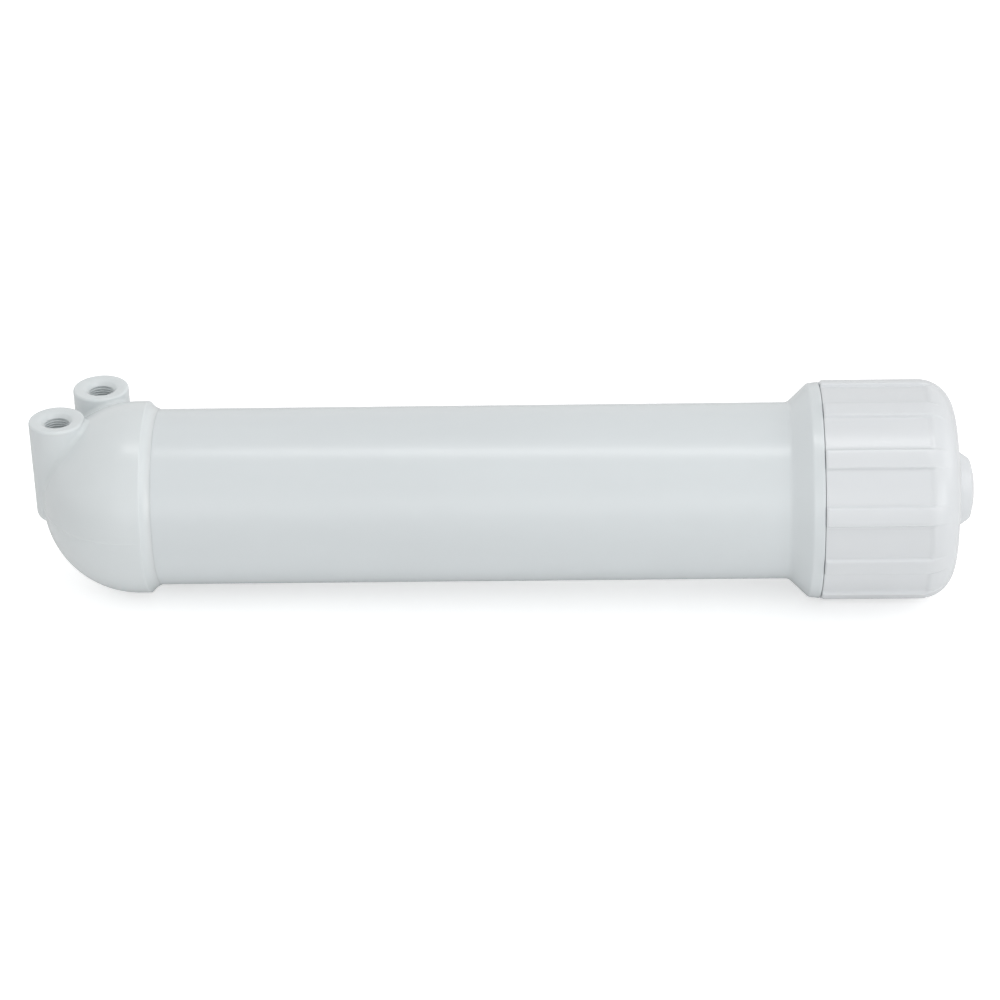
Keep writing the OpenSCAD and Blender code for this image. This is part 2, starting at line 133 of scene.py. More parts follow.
class VesselHeadSizes(bpy.types.PropertyGroup):
    """Sizes of the domed head"""

    rim_len: length("Rim", "Straight part of the head beside its bevel", 4.1)
    bevel_len: length("Bevel", "Length of the rim's bevel", 3.65)
    bevel_bow: length("Bevel bow", "How far the bevel is hollowed at its middle", 0.35)
    rim_land: length("Land", "Step left between the bevel and the tube", 0.08)
    rim_round: length("Rim edge", "Radius of the edge between rim and bevel", 0.8)
    weld_gap: length("Weld gap", "Clearance around the tube in its socket", 0.02)
    dome_wall: length("Dome wall", "Wall of the dome", 5.6)
    boss_foot: length("Boss foot", "Depth of the bosses' feet below the axis", 6.2)
    boss_round: length("Boss edge", "Radius of the bosses' top edges", 0.9)
    foot_round: length("Foot edge", "Radius of the bosses' bottom edges", 2.4)
    port_drop: length("Port drop", "How far the port faces lie below the dome's crown", 2.6)
    blend_side: length("Side blend", "Radius between a boss and the dome at its sides", 3.2)
    blend_top: length("Top blend", "Radius between a boss and the dome at its top", 1.3)
    parting_h: length("Parting line", "Height of the moulding's parting line", 0.09)
    parting_w: length("Parting width", "Width of the parting line at the rim", 0.45)
    passage_d: length("Passage", "Bore of the upright passages under the ports", 6)
    feed_through_d: length("Feed-through", "Bore from the permeate socket to its passage", 5)
    drain_foot: length("Drain foot", "Height of the concentrate passage's foot above the axis", 5.3)
    sump: length("Sump", "Depth of the permeate passage below the axis", 3.2)
    socket_r: length("Socket", "Radius of the permeate tube's socket", 8.7)
    socket_wall: length("Socket wall", "Wall of that socket", 4.3)
    socket_floor: length("Socket floor", "From the dome's inside tip to the socket's floor", 8.3)
    socket_depth: length("Socket depth", "Depth of the socket", 19)


class VesselPortSizes(bpy.types.PropertyGroup):
    """Sizes of the threaded ports"""

    depth: length("Depth", "Depth of the head's threaded ports", 14)
    sink_d: length("Countersink", "Diameter of the countersink at each port", 12.2)
    pitch: length("Pitch", "Pitch of the pipe thread", 0.941)
    thread_h: length("Thread", "Depth of the pipe thread", 0.42)
    lip: length("Lip", "Depth of the shallow lead into the countersink", 0.55)
    neck_round: length("Neck edge", "Radius between the countersink and the bore", 0.6)
    lip_round: length("Lip edge", "Radius between the countersink and its lead", 1.2)
    fade: length("Run-out", "Length over which the thread fades at its bottom", 2)


class VesselTubeSizes(bpy.types.PropertyGroup):
    """Sizes of the tube and its neck"""

    bore_r: length("Bore", "Radius of the bore that takes the element", 25.5)
    flare_foot: length("Flare foot", "From the bare tube to where the cone would start", 0.85)
    flare_len: length("Flare", "From the bare tube to where the cone would end", 7.9)
    flare_round: length("Foot edge", "Radius where the tube turns into the flare", 3)
    collar_len: length("Collar", "Length of the collar's band up to the seam", 3.75)
    collar_fall: length("Collar fall", "How much lower the collar's band is beside the flare", 0.35)
    collar_rise: length("Collar rise", "How much higher it is at the seam", 0.15)
    collar_round: length("Collar edge", "Radius where the flare turns into the collar", 1.8)
    seam_close: length("Seam", "How far the collar's face is drawn towards the cap", 0.28)
    seam_round: length("Seam edge", "Radius of the collar's edge at the seam", 0.5)
    neck_r: length("Neck", "Radius of the neck under its thread", 33)
    rim_bevel: length("Neck rim", "Bevel on the neck's rim", 0.8)
    end_round: length("End edge", "Radius of the tube's welded end", 0.3)


class VesselThreadSizes(bpy.types.PropertyGroup):
    """Sizes of the thread between neck and cap"""

    pitch: length("Pitch", "Pitch of the thread, one start, right hand", 5)
    height: length("Height", "Height of the thread above its wall", 2)
    start: length("Start", "Distance from the seam to the start of the neck's thread", 7.5)
    neck_crest: length("Neck crest", "Width of the neck thread's crest", 1.8)
    cap_crest: length("Cap crest", "Width of the cap thread's crest", 1.37)
    widening: share("Flank", "Widening of the flanks for each unit of height, both together", 0.6)
    neck_turns: amount("Neck turns", "Turns of thread on the neck", 3.5)
    cap_turns: amount("Cap turns", "Turns of thread in the cap", 3)
    lead: share("Lead", "Share of a turn over which the thread rises at its ends", 0.5)
    row: length("Row", "Spacing of the rings of points along a thread", 0.25)


class VesselCapSizes(bpy.types.PropertyGroup):
    """Sizes of the screw cap"""

    rib_count: IntProperty(
        name="Ribs", description="Number of grip ribs", default=12, min=6, max=24
    )
    rib_r: length("Rib crests", "Radius over the crests of the ribs", 39.6)
    rib_w: length("Rib", "Width of each rib's crest", 6)
    rib_flank: length("Rib flank", "Run of a rib's rounded flank, on each side", 0.95)
    panel_depth: length("Panel", "Depth of the panels between the ribs", 1.1)
    panel_step: length("Panel end", "Run of the step at the panels' ends", 2.2)
    panel_edge: share("Panel edge", "Rounding of the panels' edge, as a share of the ribs'", 0.3)
    relief: length("Relief", "How much lower the shoulder lies between the ribs", 0.42)
    edge_round: length("Open edge", "Radius of the cap's open edge", 0.9)
    cap_len: length("Length", "Length from the open edge to the end face", 47.45)
    shoulder_r: length("Shoulder", "Radius of the cap's shoulder", 13)
    panel_end: length("Panel run", "Distance from the end face back to the panels' ends", 10.2)
    end_rise: length("End rise", "Rise of the end face towards the nub", 1.8)
    end_wall: length("End wall", "Thickness of the end wall", 4.9)
    nub_h: length("Nub", "Height of the nub above the end face's rise", 5.3)
    nub_base_r: length("Nub base", "Radius of the nub where it leaves the end face", 13.6)
    nub_top_r: length("Nub top", "Radius of the nub where its side turns into its top", 10.7)
    nub_drop: length("Nub drop", "How far the nub's top falls from its mouth to its side", 1.15)
    nub_round: length("Nub edge", "Radius of the nub's rounded edge", 2.6)
    nub_blend: length("Nub blend", "Radius between the end face and the nub", 1.5)
    root_r: length("Thread root", "Radius of the cap's bore between its threads", 35.45)
    lead_in: length("Lead-in", "Bevel inside the open edge", 0.8)
    pilot_r: length("Pilot", "Radius of the bore around the end of the neck", 33.6)
    pilot_len: length("Pilot length", "Length of that bore", 7)
    shelf_gap: length("Shelf gap", "Gap between the cap's shelf and the neck's rim", 0.5)
    groove_r: length("Groove", "Middle radius of the seal's groove", 29.25)
    groove_w: length("Groove width", "Width of the seal's groove", 4.2)
    groove_depth: length("Groove depth", "Depth of the seal's groove", 2.4)
    chamber_r: length("Chamber", "Radius of the feed chamber", 24)


class VesselFinish(bpy.types.PropertyGroup):
    """Colours and surfaces"""

    head_white: colour("Head", "Moulded plastic of the head", 0.752, 0.791, 0.801)
    tube_white: colour("Tube", "Moulded plastic of the tube", 0.735, 0.775, 0.790)
    cap_white: colour("Cap", "Moulded plastic of the cap", 0.760, 0.782, 0.800)
    rubber: colour("Rubber", "Seals", 0.018, 0.018, 0.019)
    element: colour("Element plastic", "Permeate tube, carrier and plug", 0.60, 0.62, 0.62)
    membrane: colour("Membrane", "Wound sheets at the ends of the roll", 0.66, 0.65, 0.60)
    spacer: colour("Spacer", "Mesh between the wound sheets", 0.30, 0.32, 0.33)
    tape: colour("Tape", "Film wound round the roll", 0.50, 0.58, 0.66)
    roughness: share("Roughness", "Roughness of the moulded plastic", 0.25)
    sunk_light: share("Sunk light", "Share of the light that sinks into the moulded plastic", 0.35)
    sunk_depth: length("Sunk depth", "How far that light spreads inside it", 1.2)


class VesselStage(bpy.types.PropertyGroup):
    """Camera, lamps and floor"""

    azimuth: turn("Azimuth", "Bearing of the camera, from straight in front", 1.8)
    elevation: turn("Elevation", "Height of the camera above the horizon", 29.49)
    roll: turn("Roll", "Turn of the camera about its line of sight", -1.47)
    distance: FloatProperty(
        name="Distance", description="Distance of the camera", default=1.17145, unit="LENGTH"
    )
    lens: FloatProperty(
        name="Lens", description="Focal length in millimetres", default=117.72, unit="CAMERA"
    )
    aim: FloatVectorProperty(
        name="Aim", description="Point at the middle of the picture",
        default=(0.009888, -0.001082, -0.002222), subtype="XYZ", unit="LENGTH",
    )
    fill: amount("Fill", "Strength of the even light from all round", 0.6)
    front: amount("Front", "Power of the large soft lamp low in front", 3.0)
    side: amount("Side", "Power of the soft lamp in front of the cap's side", 5.2)
    end: amount("End", "Power of the soft lamp that faces the cap's end", 2.0)
    strip: amount("Strip", "Power of the long lamp overhead", 1.6)
    floor: share("Floor", "Whiteness of the floor", 0.92)
    floor_lift: share("Floor lift", "Light that the floor shows to the camera alone", 0.5)


GROUPS = {
    "vessel_head": VesselHeadSizes,
    "vessel_port": VesselPortSizes,
    "vessel_tube": VesselTubeSizes,
    "vessel_thread": VesselThreadSizes,
    "vessel_cap": VesselCapSizes,
    "vessel_finish": VesselFinish,
    "vessel_stage": VesselStage,
}


# Stations of the main faces along the axis


def dome_place(head):
    """Station of the dome's widest ring, where the straight rim starts."""
    return HEAD_RIM_X - head.bevel_len - head.rim_len


def seam_place(tube):
    """Station of the seam between the collar and the cap."""
    return FLARE_X + tube.flare_len + tube.collar_len


def nub_place(cap):
    """Station of the face of the cap's nub."""
    return CAP_X + cap.cap_len + cap.end_rise + cap.nub_h


# Outlines: points of (station along the axis, radius)


def arc_steps(radius, sweep):
    """Chords that keep an arc close to its true line."""
    step = 2 * math.acos(1 - CHORD / radius)
    return max(3, math.ceil(abs(sweep) / step))


def arc(centre, radius, start, end, steps=None):
    """Points of an arc, with angles in degrees: 0 points away from the axis and 90 along it."""
    first = math.radians(start)
    sweep = math.radians(end) - first
    steps = steps or arc_steps(radius, sweep)
    angles = [first + sweep * i / steps for i in range(steps + 1)]
    return [(centre[0] + radius * math.sin(a), centre[1] + radius * math.cos(a)) for a in angles]


def rounded(corners):
    """Points of an outline whose corners are (station, radius, rounding), with their arcs."""
    points = []
    for i, (station, radius, rounding) in enumerate(corners):
        corner = Vector((station, radius))
        if not rounding:
            points.append(tuple(corner))
            continue
        back = (Vector(corners[i - 1][:2]) - corner).normalized()
        ahead = (Vector(corners[i + 1][:2]) - corner).normalized()
        half = back.angle(ahead) / 2
        centre = corner + (back + ahead).normalized() * rounding / math.sin(half)
        start = corner + back * rounding / math.tan(half) - centre
        sweep = math.copysign(math.pi - 2 * half, back.cross(ahead))
        steps = arc_steps(rounding, sweep)
        for k in range(steps + 1):
            points.append(tuple(centre + Matrix.Rotation(-sweep * k / steps, 2) @ start))
    return points


def rows(start, end, spacing, radius):
    """Straight row of plain corners from one station to another."""
    count = max(1, round(abs(end - start) / spacing))
    return [(start + (end - start) * i / count, radius, 0) for i in range(count + 1)]


def bowed(start, end, depth, steps=8):
    """Points after start on a hollow line to end, bowed towards the axis by depth."""
    along = end - start
    inward = Vector((along.y, -along.x)).normalized()
    shares = [i / steps for i in range(1, steps + 1)]
    return [start + along * t + inward * 4 * depth * t * (1 - t) for t in shares]


def eased(value, start, end):
    """Runs smoothly from 0 at start to 1 at end."""
    t = min(1, max(0, (value - start) / (end - start)))
    return t * t * (3 - 2 * t)


# Modelling helpers


def turned(name, outline, stretches, upright_at=None):
    """Traces an outline by extrusion and spins it once round its axis.

    The axis is X, or the upright line through upright_at. Stretches are (degrees, steps).
    """
    if upright_at is None:
        points = [Vector((station, 0, radius)) for station, radius in outline]
        centre, axis = Vector(), (1, 0, 0)
    else:
        centre, axis = Vector((*upright_at, 0)), (0, 0, 1)
        points = [centre + Vector((radius, 0, station)) for station, radius in outline]
    bpy.ops.object.select_all(action="DESELECT")
    bpy.ops.mesh.primitive_plane_add(size=MM, calc_uvs=False)
    piece = bpy.context.object
    piece.name = name
    bpy.ops.object.mode_set(mode="EDIT")
    bpy.ops.mesh.merge(type="CENTER")
    bpy.ops.transform.translate(value=points[0])
    for start, end in zip(points, points[1:]):
        bpy.ops.mesh.extrude_vertices_move(TRANSFORM_OT_translate={"value": end - start})
    bpy.ops.mesh.select_all(action="SELECT")
    for degrees, steps in stretches:
        bpy.ops.mesh.spin(steps=steps, angle=math.radians(degrees), center=centre, axis=axis)
    bpy.ops.mesh.select_all(action="SELECT")
    bpy.ops.mesh.remove_doubles(threshold=MERGE)
    bpy.ops.mesh.normals_make_consistent(inside=False)
    bpy.ops.object.mode_set(mode="OBJECT")
    return piece


def rod(name, radius, start, end, upright_at=None, steps=ROD_STEPS):
    """Plain round cutter or core from one station to another."""
    outline = [(start, 0), (start, radius), (end, radius), (end, 0)]
    return turned(name, outline, [(360, steps)], upright_at)


def combine(piece, tool, operation):
    """Adds or cuts one shape with another, which is used up."""
    modifier = piece.modifiers.new("Combine", "BOOLEAN")
    modifier.solver = "MANIFOLD"
    modifier.operation = operation
    modifier.object = tool
    bpy.ops.object.select_all(action="DESELECT")
    bpy.context.view_layer.objects.active = piece
    piece.select_set(True)
    bpy.ops.object.modifier_apply(modifier=modifier.name)
    bpy.data.meshes.remove(tool.data)


def reshape(piece, move):
    """Moves every point of a piece to the place that move gives for it."""
    for vertex in piece.data.vertices:
        vertex.co = move(vertex.co)


def at_radius(point, radius):
    """A point set to another distance from the X axis."""
    now = math.hypot(point.y, point.z)
    return Vector((point.x, point.y * radius / now, point.z * radius / now))


def finish_piece(piece, material, body, node):
    """Shades a piece, gives it its material and puts it in its node's place."""
    bpy.ops.object.select_all(action="DESELECT")
    bpy.context.view_layer.objects.active = piece
    piece.select_set(True)
    bpy.ops.object.shade_smooth_by_angle(angle=SMOOTH_ANGLE)
    piece.data.materials.clear()
    piece.data.materials.append(material)
    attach(piece, body)
    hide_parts(node)


def thread_height(point, start, turns, crest, sizes):
    """Height of the cap's or neck's thread over a point on its wall."""
    angle = math.atan2(point.y, -point.z) % math.tau
    foot = crest + sizes.height * sizes.widening
    best = 0
    for lap in range(math.ceil(turns)):
        along = angle / math.tau + lap
        rise = min(along, turns - along) / sizes.lead
        aside = abs(point.x - start - sizes.pitch * along)
        flank = (foot / 2 - aside) * 2 / sizes.widening
        best = max(best, min(flank, sizes.height * min(1, rise)))
    return best


# Rings of points in one pitch of a port's thread
PITCH_ROWS = 8


def port_cutter(name, depth, sizes):
    """Threaded bore with its countersink, along -Z from a face at the origin."""
    sink_r = sizes.sink_d / 2
    neck = -(sink_r - PORT_R)
    bore_end = neck - sizes.neck_round
    outline = [(-depth, 0)]
    outline += [row[:2] for row in rows(-depth, bore_end, sizes.pitch / PITCH_ROWS, PORT_R)]
    outline += rounded([
        (bore_end, PORT_R, 0),
        (neck, PORT_R, sizes.neck_round),
        (-sizes.lip, sink_r - sizes.lip, sizes.lip_round),
        (OVER, sink_r + sizes.lip + 2 * OVER, 0),
        (OVER, 0, 0),
    ])[1:]
    cutter = turned(name, outline, [(360, PORT_STEPS)], upright_at=(0, 0))

    def cut_thread(point):
        wide = math.hypot(point.x, point.y)
        if abs(wide - PORT_R) > MERGE:
            return point
        phase = math.tau * point.z / sizes.pitch - math.atan2(point.y, point.x)
        fade = eased(point.z, -depth, sizes.fade - depth)
        deeper = 1 + sizes.thread_h * fade * (1 + math.cos(phase)) / 2 / wide
        return Vector((point.x * deeper, point.y * deeper, point.z))

    reshape(cutter, cut_thread)
    return cutter


# Head

# Blend strips: sections along one, chords in each, and how deep its back lies in the wall
BLEND_SECTIONS = 96
BLEND_CHORDS = 10
BLEND_BACK = 1.6
# Turn from a boss's top over which its blend widens, and step of the search for a strip's ends
BLEND_WIDENS = (0.1, 1.2)
BLEND_SEARCH = 0.005
# Columns of points over a quarter of the head and over its parting line
QUARTER_STEPS = 60
PARTING_STEPS = 6
# Shares of the head's radius between which the parting line rises
PARTING_RISES = (0.3, 0.6)


def blend_strip(name, boss_at, boss_r, dome_x, sizes):
    """Solid strip that rounds the corner between the dome and a boss.

    A ball that touches both rolls round the boss, from one side of its foot to the other. Each
    section of the strip is the ball's arc between the two contacts, closed inside the head.
    """
    middle = Vector((dome_x, 0, 0))
    boss = Vector((*boss_at, 0))
    reach = (boss - middle).length
    inward = (middle - boss).normalized()
    side = Vector((-inward.y, inward.x, 0))
    end_z = sizes.foot_round - sizes.boss_foot

    def ball_place(u, ball):
        far = HEAD_R + ball - SINK
        near = boss_r + ball - SINK
        widest = math.acos((reach ** 2 + near ** 2 - far ** 2) / (2 * reach * near))
        bearing = widest * math.sin(u)
        flat = reach ** 2 + near ** 2 - 2 * reach * near * math.cos(bearing)
        height = math.copysign(math.sqrt(max(0, far ** 2 - flat)), math.cos(u))
        around = inward * math.cos(bearing) + side * math.sin(bearing)
        return boss + around * near + Vector((0, 0, height))

    def last_turn():
        u = math.pi / 2
        while ball_place(u, sizes.blend_top).z > end_z:
            u += BLEND_SEARCH
        return u

    limit = last_turn()
    mesh = bmesh.new()
    rings = []
    for i in range(BLEND_SECTIONS + 1):
        u = limit * (2 * i / BLEND_SECTIONS - 1)
        widen = eased(abs(u), *BLEND_WIDENS) * (1 - eased(abs(u), math.pi / 2, limit))
        ball = sizes.blend_top + (sizes.blend_side - sizes.blend_top) * widen
        place = ball_place(u, ball)
        to_dome = (middle - place).normalized()
        to_boss = Vector((boss.x - place.x, boss.y - place.y, 0)).normalized()
        parts = [k / BLEND_CHORDS for k in range(BLEND_CHORDS + 1)]
        ring = [place + to_dome.slerp(to_boss, part) * ball for part in parts]
        deep = BLEND_BACK * ball / (1 + to_dome.dot(to_boss))
        ring.append(place + (to_dome + to_boss) * deep)
        rings.append([mesh.verts.new(point) for point in ring])
    for one, two in zip(rings, rings[1:]):
        for k in range(len(one)):
            after = (k + 1) % len(one)
            mesh.faces.new((one[k], one[after], two[after], two[k]))
    mesh.faces.new(rings[0])
    mesh.faces.new(rings[-1])
    bmesh.ops.recalc_face_normals(mesh, faces=mesh.faces)
    strip = bpy.data.objects.new(name, bpy.data.meshes.new(name))
    mesh.to_mesh(strip.data)
    mesh.free()
    bpy.context.collection.objects.link(strip)
    return strip


def dome_quarter(dome_x, radius):
    """Outline of half a ball, from its tip to its widest ring."""
    return arc((dome_x, 0), radius, -90, 0)


def head_shell(sizes, dome_x):
    """Outside of the head, with the parting line on its two sides."""
    ridge = math.degrees(sizes.parting_w / HEAD_R)
    crest = Vector((dome_x + sizes.rim_len, HEAD_R))
    land = Vector((HEAD_RIM_X, TUBE_R + sizes.rim_land))
    outline = dome_quarter(dome_x, HEAD_R)[:-1] + rounded([
        (dome_x, HEAD_R, 0),
        (*crest, sizes.rim_round),
        *[(*point, 0) for point in bowed(crest, land, sizes.bevel_bow)],
        (HEAD_RIM_X, 0, 0),
    ])
    quarter = (90 - ridge / 2, QUARTER_STEPS)
    half = [quarter, (ridge, PARTING_STEPS), quarter]
    shell = turned("head_moulding", outline, half + half)
    middle = Vector((dome_x, 0, 0))
    starts, whole = (part * HEAD_R for part in PARTING_RISES)

    def raise_parting(point):
        wide = math.hypot(point.y, point.z)
        if wide < starts or point.x > dome_x + sizes.rim_len - sizes.rim_round:
            return point
        off = math.degrees(math.asin(min(1, abs(point.z) / wide)))
        across = 1 - eased(off, 0, ridge / 2)
        lift = sizes.parting_h * across * eased(wide, starts, whole)
        return middle + (point - middle) * (1 + lift / HEAD_R)

    reshape(shell, raise_parting)
    return shell


def head_hollow(sizes, dome_x, socket_x, port_z):
    """Hollow of the dome around the permeate socket and its upright passage."""
    outline = dome_quarter(dome_x, HEAD_R - sizes.dome_wall) + [(dome_x, 0)]
    hollow = turned("hollow", outline, [(360, BOSS_STEPS)])
    socket_r = sizes.socket_r + sizes.socket_wall
    socket_end = socket_x + sizes.socket_depth
    combine(hollow, rod("socket", socket_r, dome_x - HEAD_R, socket_end), "DIFFERENCE")
    column_r = sizes.passage_d / 2 + sizes.socket_wall
    combine(hollow, rod("column", column_r, 0, port_z, PERMEATE_AT), "DIFFERENCE")
    return hollow


class VESSEL_OT_head(bpy.types.Operator):
    """Models the domed head with its two ports"""

    bl_idname = "vessel.make_head"
    bl_label = "Make the head"

    def execute(self, context):
        sizes = context.scene.vessel_head
        ports = context.scene.vessel_port
        dome_x = dome_place(sizes)
        port_z = HEAD_R - sizes.port_drop
        boss_r = PERMEATE_AT.x - HEAD_LOW.x
        socket_x = dome_x - HEAD_R + sizes.dome_wall + sizes.socket_floor
        head = head_shell(sizes, dome_x)
        outline = rounded([
            (-sizes.boss_foot, 0, 0),
            (-sizes.boss_foot, boss_r, sizes.foot_round),
            (port_z, boss_r, sizes.boss_round),
            (port_z, 0, 0),
        ])
        for name, place in (("permeate", PERMEATE_AT), ("concentrate", CONCENTRATE_AT)):
            combine(head, turned(name + "_boss", outline, [(360, BOSS_STEPS)], place), "UNION")
            combine(head, blend_strip(name + "_blend", place, boss_r, dome_x, sizes), "UNION")
        combine(head, head_hollow(sizes, dome_x, socket_x, port_z), "DIFFERENCE")
        passage_r = sizes.passage_d / 2
        passage_top = port_z - ports.depth + OVER
        cuts = [
            rod("weld", TUBE_R + sizes.weld_gap, WELD_X, HEAD_RIM_X + OVER, steps=TUBE_STEPS),
            rod("spigot", sizes.socket_r, socket_x, socket_x + sizes.socket_depth + OVER),
            rod("through", sizes.feed_through_d / 2, PERMEATE_AT.x, socket_x + OVER),
            rod("sump", passage_r, -sizes.sump, passage_top, PERMEATE_AT),
            rod("drain", passage_r, sizes.drain_foot, passage_top, CONCENTRATE_AT),
        ]
        for place in (PERMEATE_AT, CONCENTRATE_AT):
            cutter = port_cutter("port", ports.depth, ports)
            cutter.data.transform(Matrix.Translation((*place, port_z)))
            cuts.append(cutter)
        for cut in cuts:
            combine(head, cut, "DIFFERENCE")
        white = moulded("head_white", context.scene.vessel_finish.head_white, context)
        finish_piece(head, white, "vessel", "end_head")
        return {"FINISHED"}


# Tube


class VESSEL_OT_tube(bpy.types.Operator):
    """Models the tube with its flare, collar and threaded neck"""

    bl_idname = "vessel.make_tube"
    bl_label = "Make the tube"

    def execute(self, context):
        sizes = context.scene.vessel_tube
        thread = context.scene.vessel_thread
        seam_x = seam_place(sizes)
        face_x = seam_x + sizes.seam_close
        start = seam_x + thread.start
        run = thread.pitch * thread.neck_turns
        margin = thread.pitch / 2
        corners = [
            (WELD_X, sizes.bore_r, 0),
            (WELD_X, TUBE_R, sizes.end_round),
            (FLARE_X + sizes.flare_foot, TUBE_R, sizes.flare_round),
            (FLARE_X + sizes.flare_len, COLLAR_R - sizes.collar_fall, sizes.collar_round),
            (face_x, COLLAR_R + sizes.collar_rise, sizes.seam_round),
            (face_x, sizes.neck_r, 0),
            *rows(start - margin, start + run + margin, thread.row, sizes.neck_r),
            (NECK_RIM_X - sizes.rim_bevel, sizes.neck_r, 0),
            (NECK_RIM_X, sizes.neck_r - sizes.rim_bevel, 0),
            (NECK_RIM_X, sizes.bore_r + sizes.rim_bevel, 0),
            (NECK_RIM_X - sizes.rim_bevel, sizes.bore_r, 0),
            (WELD_X, sizes.bore_r, 0),
        ]
        tube = turned("tube_moulding", rounded(corners), [(360, TUBE_STEPS)])

        def raise_thread(point):
            wide = math.hypot(point.y, point.z)
            threaded = start - margin < point.x < start + run + margin
            if abs(wide - sizes.neck_r) > MERGE or not threaded:
                return point
            height = thread_height(point, start, thread.neck_turns, thread.neck_crest, thread)
            return at_radius(point, wide + height)

        reshape(tube, raise_thread)
        white = moulded("tube_white", context.scene.vessel_finish.tube_white, context)
        finish_piece(tube, white, "vessel", "shell_tube")
        return {"FINISHED"}


# Cap

# Rings of points along the cap's side, and how far they keep from its edge and its shoulder
SIDE_ROW = 6 * MM
SIDE_START = 2 * MM
SIDE_END = 1 * MM
# Chords of the shoulder beside the panels' ends and beyond them
STEP_CHORDS = 22
CROWN_CHORDS = 30
# Columns of points over half a panel, a flank and a crest
PANEL_COLUMNS = 5
FLANK_COLUMNS = 7
CREST_COLUMNS = 6
# Degrees round the shoulder over which its relief between the ribs fades
RELIEF_FADES = (10, 46)


def cap_body(sizes, mouth_r):
    """Outside of the cap, with its ribs and panels pressed into a spun form."""
    cap_r = sizes.rib_r
    end_x = CAP_X + sizes.cap_len
    nub_x = nub_place(sizes)
    shoulder = (end_x - sizes.shoulder_r, cap_r - sizes.shoulder_r)
    step_x = end_x - sizes.panel_end
    step_reach = step_x + 2 * sizes.panel_step - shoulder[0]
    step_turn = math.degrees(math.asin(step_reach / sizes.shoulder_r))
    side = rows(CAP_X + SIDE_START, shoulder[0] - SIDE_END, SIDE_ROW, cap_r)
    crown = rounded([
        (end_x, shoulder[1], 0),
        (end_x + sizes.end_rise, sizes.nub_base_r, sizes.nub_blend),
        (nub_x - sizes.nub_drop, sizes.nub_top_r, sizes.nub_round),
        (nub_x, mouth_r, 0),
        (nub_x, 0, 0),
    ])
    outline = (
        [(CAP_X, 0)]
        + rounded([(CAP_X, 0, 0), (CAP_X, cap_r, sizes.edge_round), (shoulder[0], cap_r, 0)])[1:-1]
        + [row[:2] for row in side]
        + arc(shoulder, sizes.shoulder_r, 0, step_turn, STEP_CHORDS)
        + arc(shoulder, sizes.shoulder_r, step_turn, 90, CROWN_CHORDS)[1:]
        + crown[1:]
    )
    pitch = 360 / sizes.rib_count
    crest = math.degrees(sizes.rib_w / cap_r)
    flank = math.degrees(sizes.rib_flank / cap_r)
    floor = pitch - crest - 2 * flank
    half_panel = (floor / 2, PANEL_COLUMNS)
    slope = (flank, FLANK_COLUMNS)
    panel = [half_panel, slope, (crest, CREST_COLUMNS), slope, half_panel]
    body = turned("cap_moulding", outline, panel * sizes.rib_count)

    def press_panel(point):
        wide = math.hypot(point.y, point.z)
        if wide < shoulder[1] or point.x > end_x - MERGE:
            return point
        angle = math.degrees(math.atan2(point.y, point.z))
        off = abs((angle + pitch / 2) % pitch - pitch / 2)
        inside = 1 - eased(off, floor / 2, floor / 2 + flank)
        beyond = max(0, point.x - shoulder[0])
        round_turn = math.degrees(math.atan2(beyond, wide - shoulder[1]))
        drop = cap_r - wide
        relief = sizes.relief * (1 - eased(round_turn, *RELIEF_FADES))
        if point.x < shoulder[0]:
            recess = sizes.panel_depth - drop * (1 - sizes.panel_edge)
        else:
            recess = max(relief, sizes.panel_depth - drop)
        stepped = eased(point.x, step_x - sizes.panel_step / 2, step_x + sizes.panel_step / 2)
        depth = inside * (recess + (relief - recess) * stepped)
        tilt = math.radians(round_turn)
        moved = at_radius(point, wide - depth * math.cos(tilt))
        moved.x -= depth * math.sin(tilt)
        return moved

    reshape(body, press_panel)
    return body


def cap_hollow(sizes, thread, seam_x):
    """Bore of the cap: thread, pilot, shelf, seal groove and feed chamber."""
    shelf_x = NECK_RIM_X + sizes.shelf_gap
    inside_x = CAP_X + sizes.cap_len - sizes.end_wall
    start = seam_x + thread.start - thread.pitch / 2
    end = shelf_x - sizes.pilot_len
    groove_in = sizes.groove_r - sizes.groove_w / 2
    groove_out = sizes.groove_r + sizes.groove_w / 2
    outline = [
        (CAP_X - OVER, 0),
        (CAP_X - OVER, sizes.root_r + sizes.lead_in + OVER),
        *[row[:2] for row in rows(CAP_X + sizes.lead_in, end, thread.row, sizes.root_r)],
        (end + thread.height, sizes.pilot_r),
        (shelf_x, sizes.pilot_r),
        (shelf_x, groove_out),
        (shelf_x + sizes.groove_depth, groove_out),
        (shelf_x + sizes.groove_depth, groove_in),
        (shelf_x, groove_in),
        (shelf_x, sizes.chamber_r),
        (inside_x, sizes.chamber_r),
        (inside_x, 0),
    ]
    hollow = turned("cap_hollow", outline, [(360, CAP_BORE_STEPS)])

    def raise_thread(point):
        wide = math.hypot(point.y, point.z)
        if abs(wide - sizes.root_r) > MERGE:
            return point
        height = thread_height(point, start, thread.cap_turns, thread.cap_crest, thread)
        return at_radius(point, wide - height)

    reshape(hollow, raise_thread)
    return hollow


